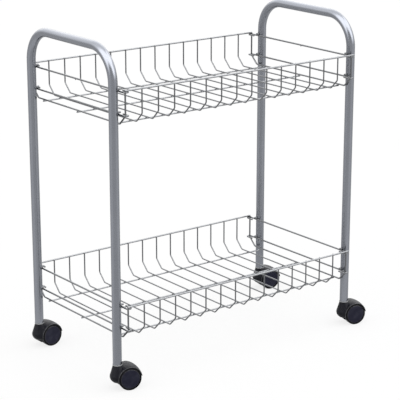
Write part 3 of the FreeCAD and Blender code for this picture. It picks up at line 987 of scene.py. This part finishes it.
def floor_material(whiteness):
    """Pale floor with faint clouding. Part of its white shows in any light, so that shadows stay faint; metal
    mirrors painted pools of light on it.
    """
    material, shader = new_material("pale_floor")
    shader.inputs["Roughness"].default_value = FLOOR_ROUGHNESS
    shader.inputs["Specular IOR Level"].default_value = 0.0
    tree = material.node_tree
    place = add_node(tree, "ShaderNodeTexCoord").outputs["Object"]
    clouds = noise(tree, place, *FLOOR_CLOUDS)
    tree.links.new(ramp(tree, clouds, *CLOUD_LIMITS, *FLOOR_SHADES), shader.inputs["Base Color"])
    # Painted pools of light, seen only in what metal mirrors of the floor
    outward = add_node(tree, "ShaderNodeVectorMath", operation="NORMALIZE")
    tree.links.new(place, outward.inputs[0])
    painted_pools = front_ramp(tree, outward.outputs["Vector"], FLOOR_PAINTED_POOLS)
    mirrored = add_node(tree, "ShaderNodeLightPath").outputs["Is Glossy Ray"]
    white = add_node(tree, "ShaderNodeEmission")
    tree.links.new(mix_values(tree, mirrored, 1.0, painted_pools), white.inputs["Strength"])
    both = add_node(tree, "ShaderNodeMixShader")
    tree.links.new(ramp(tree, background_rays(tree), 0.0, 1.0, 0.0, whiteness), both.inputs["Fac"])
    tree.links.new(shader.outputs["BSDF"], both.inputs[1])
    tree.links.new(white.outputs["Emission"], both.inputs[2])
    tree.links.new(both.outputs["Shader"], tree.nodes["Material Output"].inputs["Surface"])
    return material


def studio_world(fill_light):
    """White surroundings under a ceiling with softboxes, which light matt surfaces less than they show."""
    world = bpy.data.worlds.new("studio")
    world.use_nodes = True
    tree = world.node_tree
    light = tree.nodes["Background"]
    light.inputs["Color"].default_value = (1, 1, 1, 1)
    direction = add_node(tree, "ShaderNodeTexCoord").outputs["Generated"]
    height = add_node(tree, "ShaderNodeSeparateXYZ")
    tree.links.new(direction, height.inputs[0])
    raised = ramp(tree, height.outputs["Z"], *CEILING_LIMITS, 0.0, 1.0)
    dome = mix_values(tree, raised, 1.0, front_ramp(tree, direction, CEILING_BRIGHTNESS))
    scaled = add_node(tree, "ShaderNodeMath", operation="MULTIPLY")
    tree.links.new(dome, scaled.inputs[0])
    tree.links.new(ramp(tree, background_rays(tree), 0.0, 1.0, fill_light, 1.0), scaled.inputs[1])
    seen = add_node(tree, "ShaderNodeLightPath").outputs["Is Camera Ray"]
    tree.links.new(mix_values(tree, seen, scaled.outputs[0], 1.0), light.inputs["Strength"])
    return world


def add_sun(name, source, middle, strength, width):
    """A soft, even light that comes from one direction."""
    data = bpy.data.lights.new(name, "SUN")
    data.energy = strength
    data.angle = width
    lamp = bpy.data.objects.new(name, data)
    lamp.location = middle + source
    lamp.rotation_euler = (-source).to_track_quat("-Z", "Y").to_euler()
    bpy.context.scene.collection.objects.link(lamp)


class SHELF_OT_stage(bpy.types.Operator):
    """Build the floor, the studio light and the camera"""
    bl_idname = "shelf.stage"
    bl_label = "Stage"

    def execute(self, context):
        stage = settings().stage
        scene = context.scene
        half = stage.floor_size / 2
        corners = [(-half, -half, 0), (half, -half, 0), (half, half, 0), (-half, half, 0)]
        mesh = bpy.data.meshes.new("floor")
        mesh.from_pydata(corners, [], [(0, 1, 2, 3)])
        mesh.materials.append(floor_material(stage.floor_white))
        floor = bpy.data.objects.new("floor", mesh)
        scene.collection.objects.link(floor)
        scene.world = studio_world(stage.fill_light)
        scene.view_settings.view_transform = "Standard"
        middle = (CAD_BOX[0] + CAD_BOX[1]) / 2
        add_sun("key", KEY_FROM, middle, stage.key_light, stage.key_width)
        data = bpy.data.cameras.new("camera")
        data.lens = stage.lens
        data.clip_end = VIEW_DEPTH
        camera = bpy.data.objects.new("camera", data)
        camera.location = stage.camera_place
        camera.rotation_euler = (math.pi / 2 + stage.camera_pitch, 0, -stage.camera_yaw)
        scene.collection.objects.link(camera)
        scene.camera = camera
        return {"FINISHED"}


class ShelfLooks(bpy.types.PropertyGroup):
    """All settings of the shelf's looks."""
    frame_shape: group_property(ShelfFrameSettings, "Frame", "Shape of the end frames")
    wires: group_property(ShelfWireSettings, "Wires", "Shape of the baskets' wires")
    casters: group_property(ShelfCasterSettings, "Casters", "Shape of the casters")
    finishes: group_property(ShelfFinishSettings, "Finishes", "Colours of the finishes")
    stage: group_property(ShelfStageSettings, "Stage", "Camera, floor and light")


OPERATORS = (
    SHELF_OT_stage,
    SHELF_OT_frame_tubes,
    SHELF_OT_straight_wires,
    SHELF_OT_ribs,
    SHELF_OT_end_wires,
    SHELF_OT_pegs,
    SHELF_OT_welds,
    SHELF_OT_drops,
    SHELF_OT_wheels,
    SHELF_OT_hoods,
)


class SHELF_PT_looks(bpy.types.Panel):
    """Settings and steps of the shelf's looks"""
    bl_label = "Rolling Shelf"
    bl_space_type = "VIEW_3D"
    bl_region_type = "UI"
    bl_category = "Shelf"

    def draw(self, context):
        looks = settings()
        for group in (looks.frame_shape, looks.wires, looks.casters, looks.finishes, looks.stage):
            box = self.layout.box()
            for name in group.__annotations__:
                box.prop(group, name)
        for operator in OPERATORS:
            self.layout.operator(operator.bl_idname)


CLASSES = (
    ShelfFrameSettings,
    ShelfWireSettings,
    ShelfCasterSettings,
    ShelfFinishSettings,
    ShelfStageSettings,
    ShelfLooks,
    *OPERATORS,
    SHELF_PT_looks,
)


def register():
    for item in CLASSES:
        bpy.utils.register_class(item)
    bpy.types.Scene.shelf_looks = PointerProperty(type=ShelfLooks)


def unregister():
    del bpy.types.Scene.shelf_looks
    for item in reversed(CLASSES):
        bpy.utils.unregister_class(item)


def main():
    """Registers the add-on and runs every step."""
    register()
    bpy.ops.shelf.stage()
    bpy.ops.shelf.frame_tubes()
    bpy.ops.shelf.straight_wires()
    bpy.ops.shelf.ribs()
    bpy.ops.shelf.end_wires()
    bpy.ops.shelf.pegs()
    bpy.ops.shelf.welds()
    bpy.ops.shelf.drops()
    bpy.ops.shelf.wheels()
    bpy.ops.shelf.hoods()


if __name__ == "__main__":
    main()
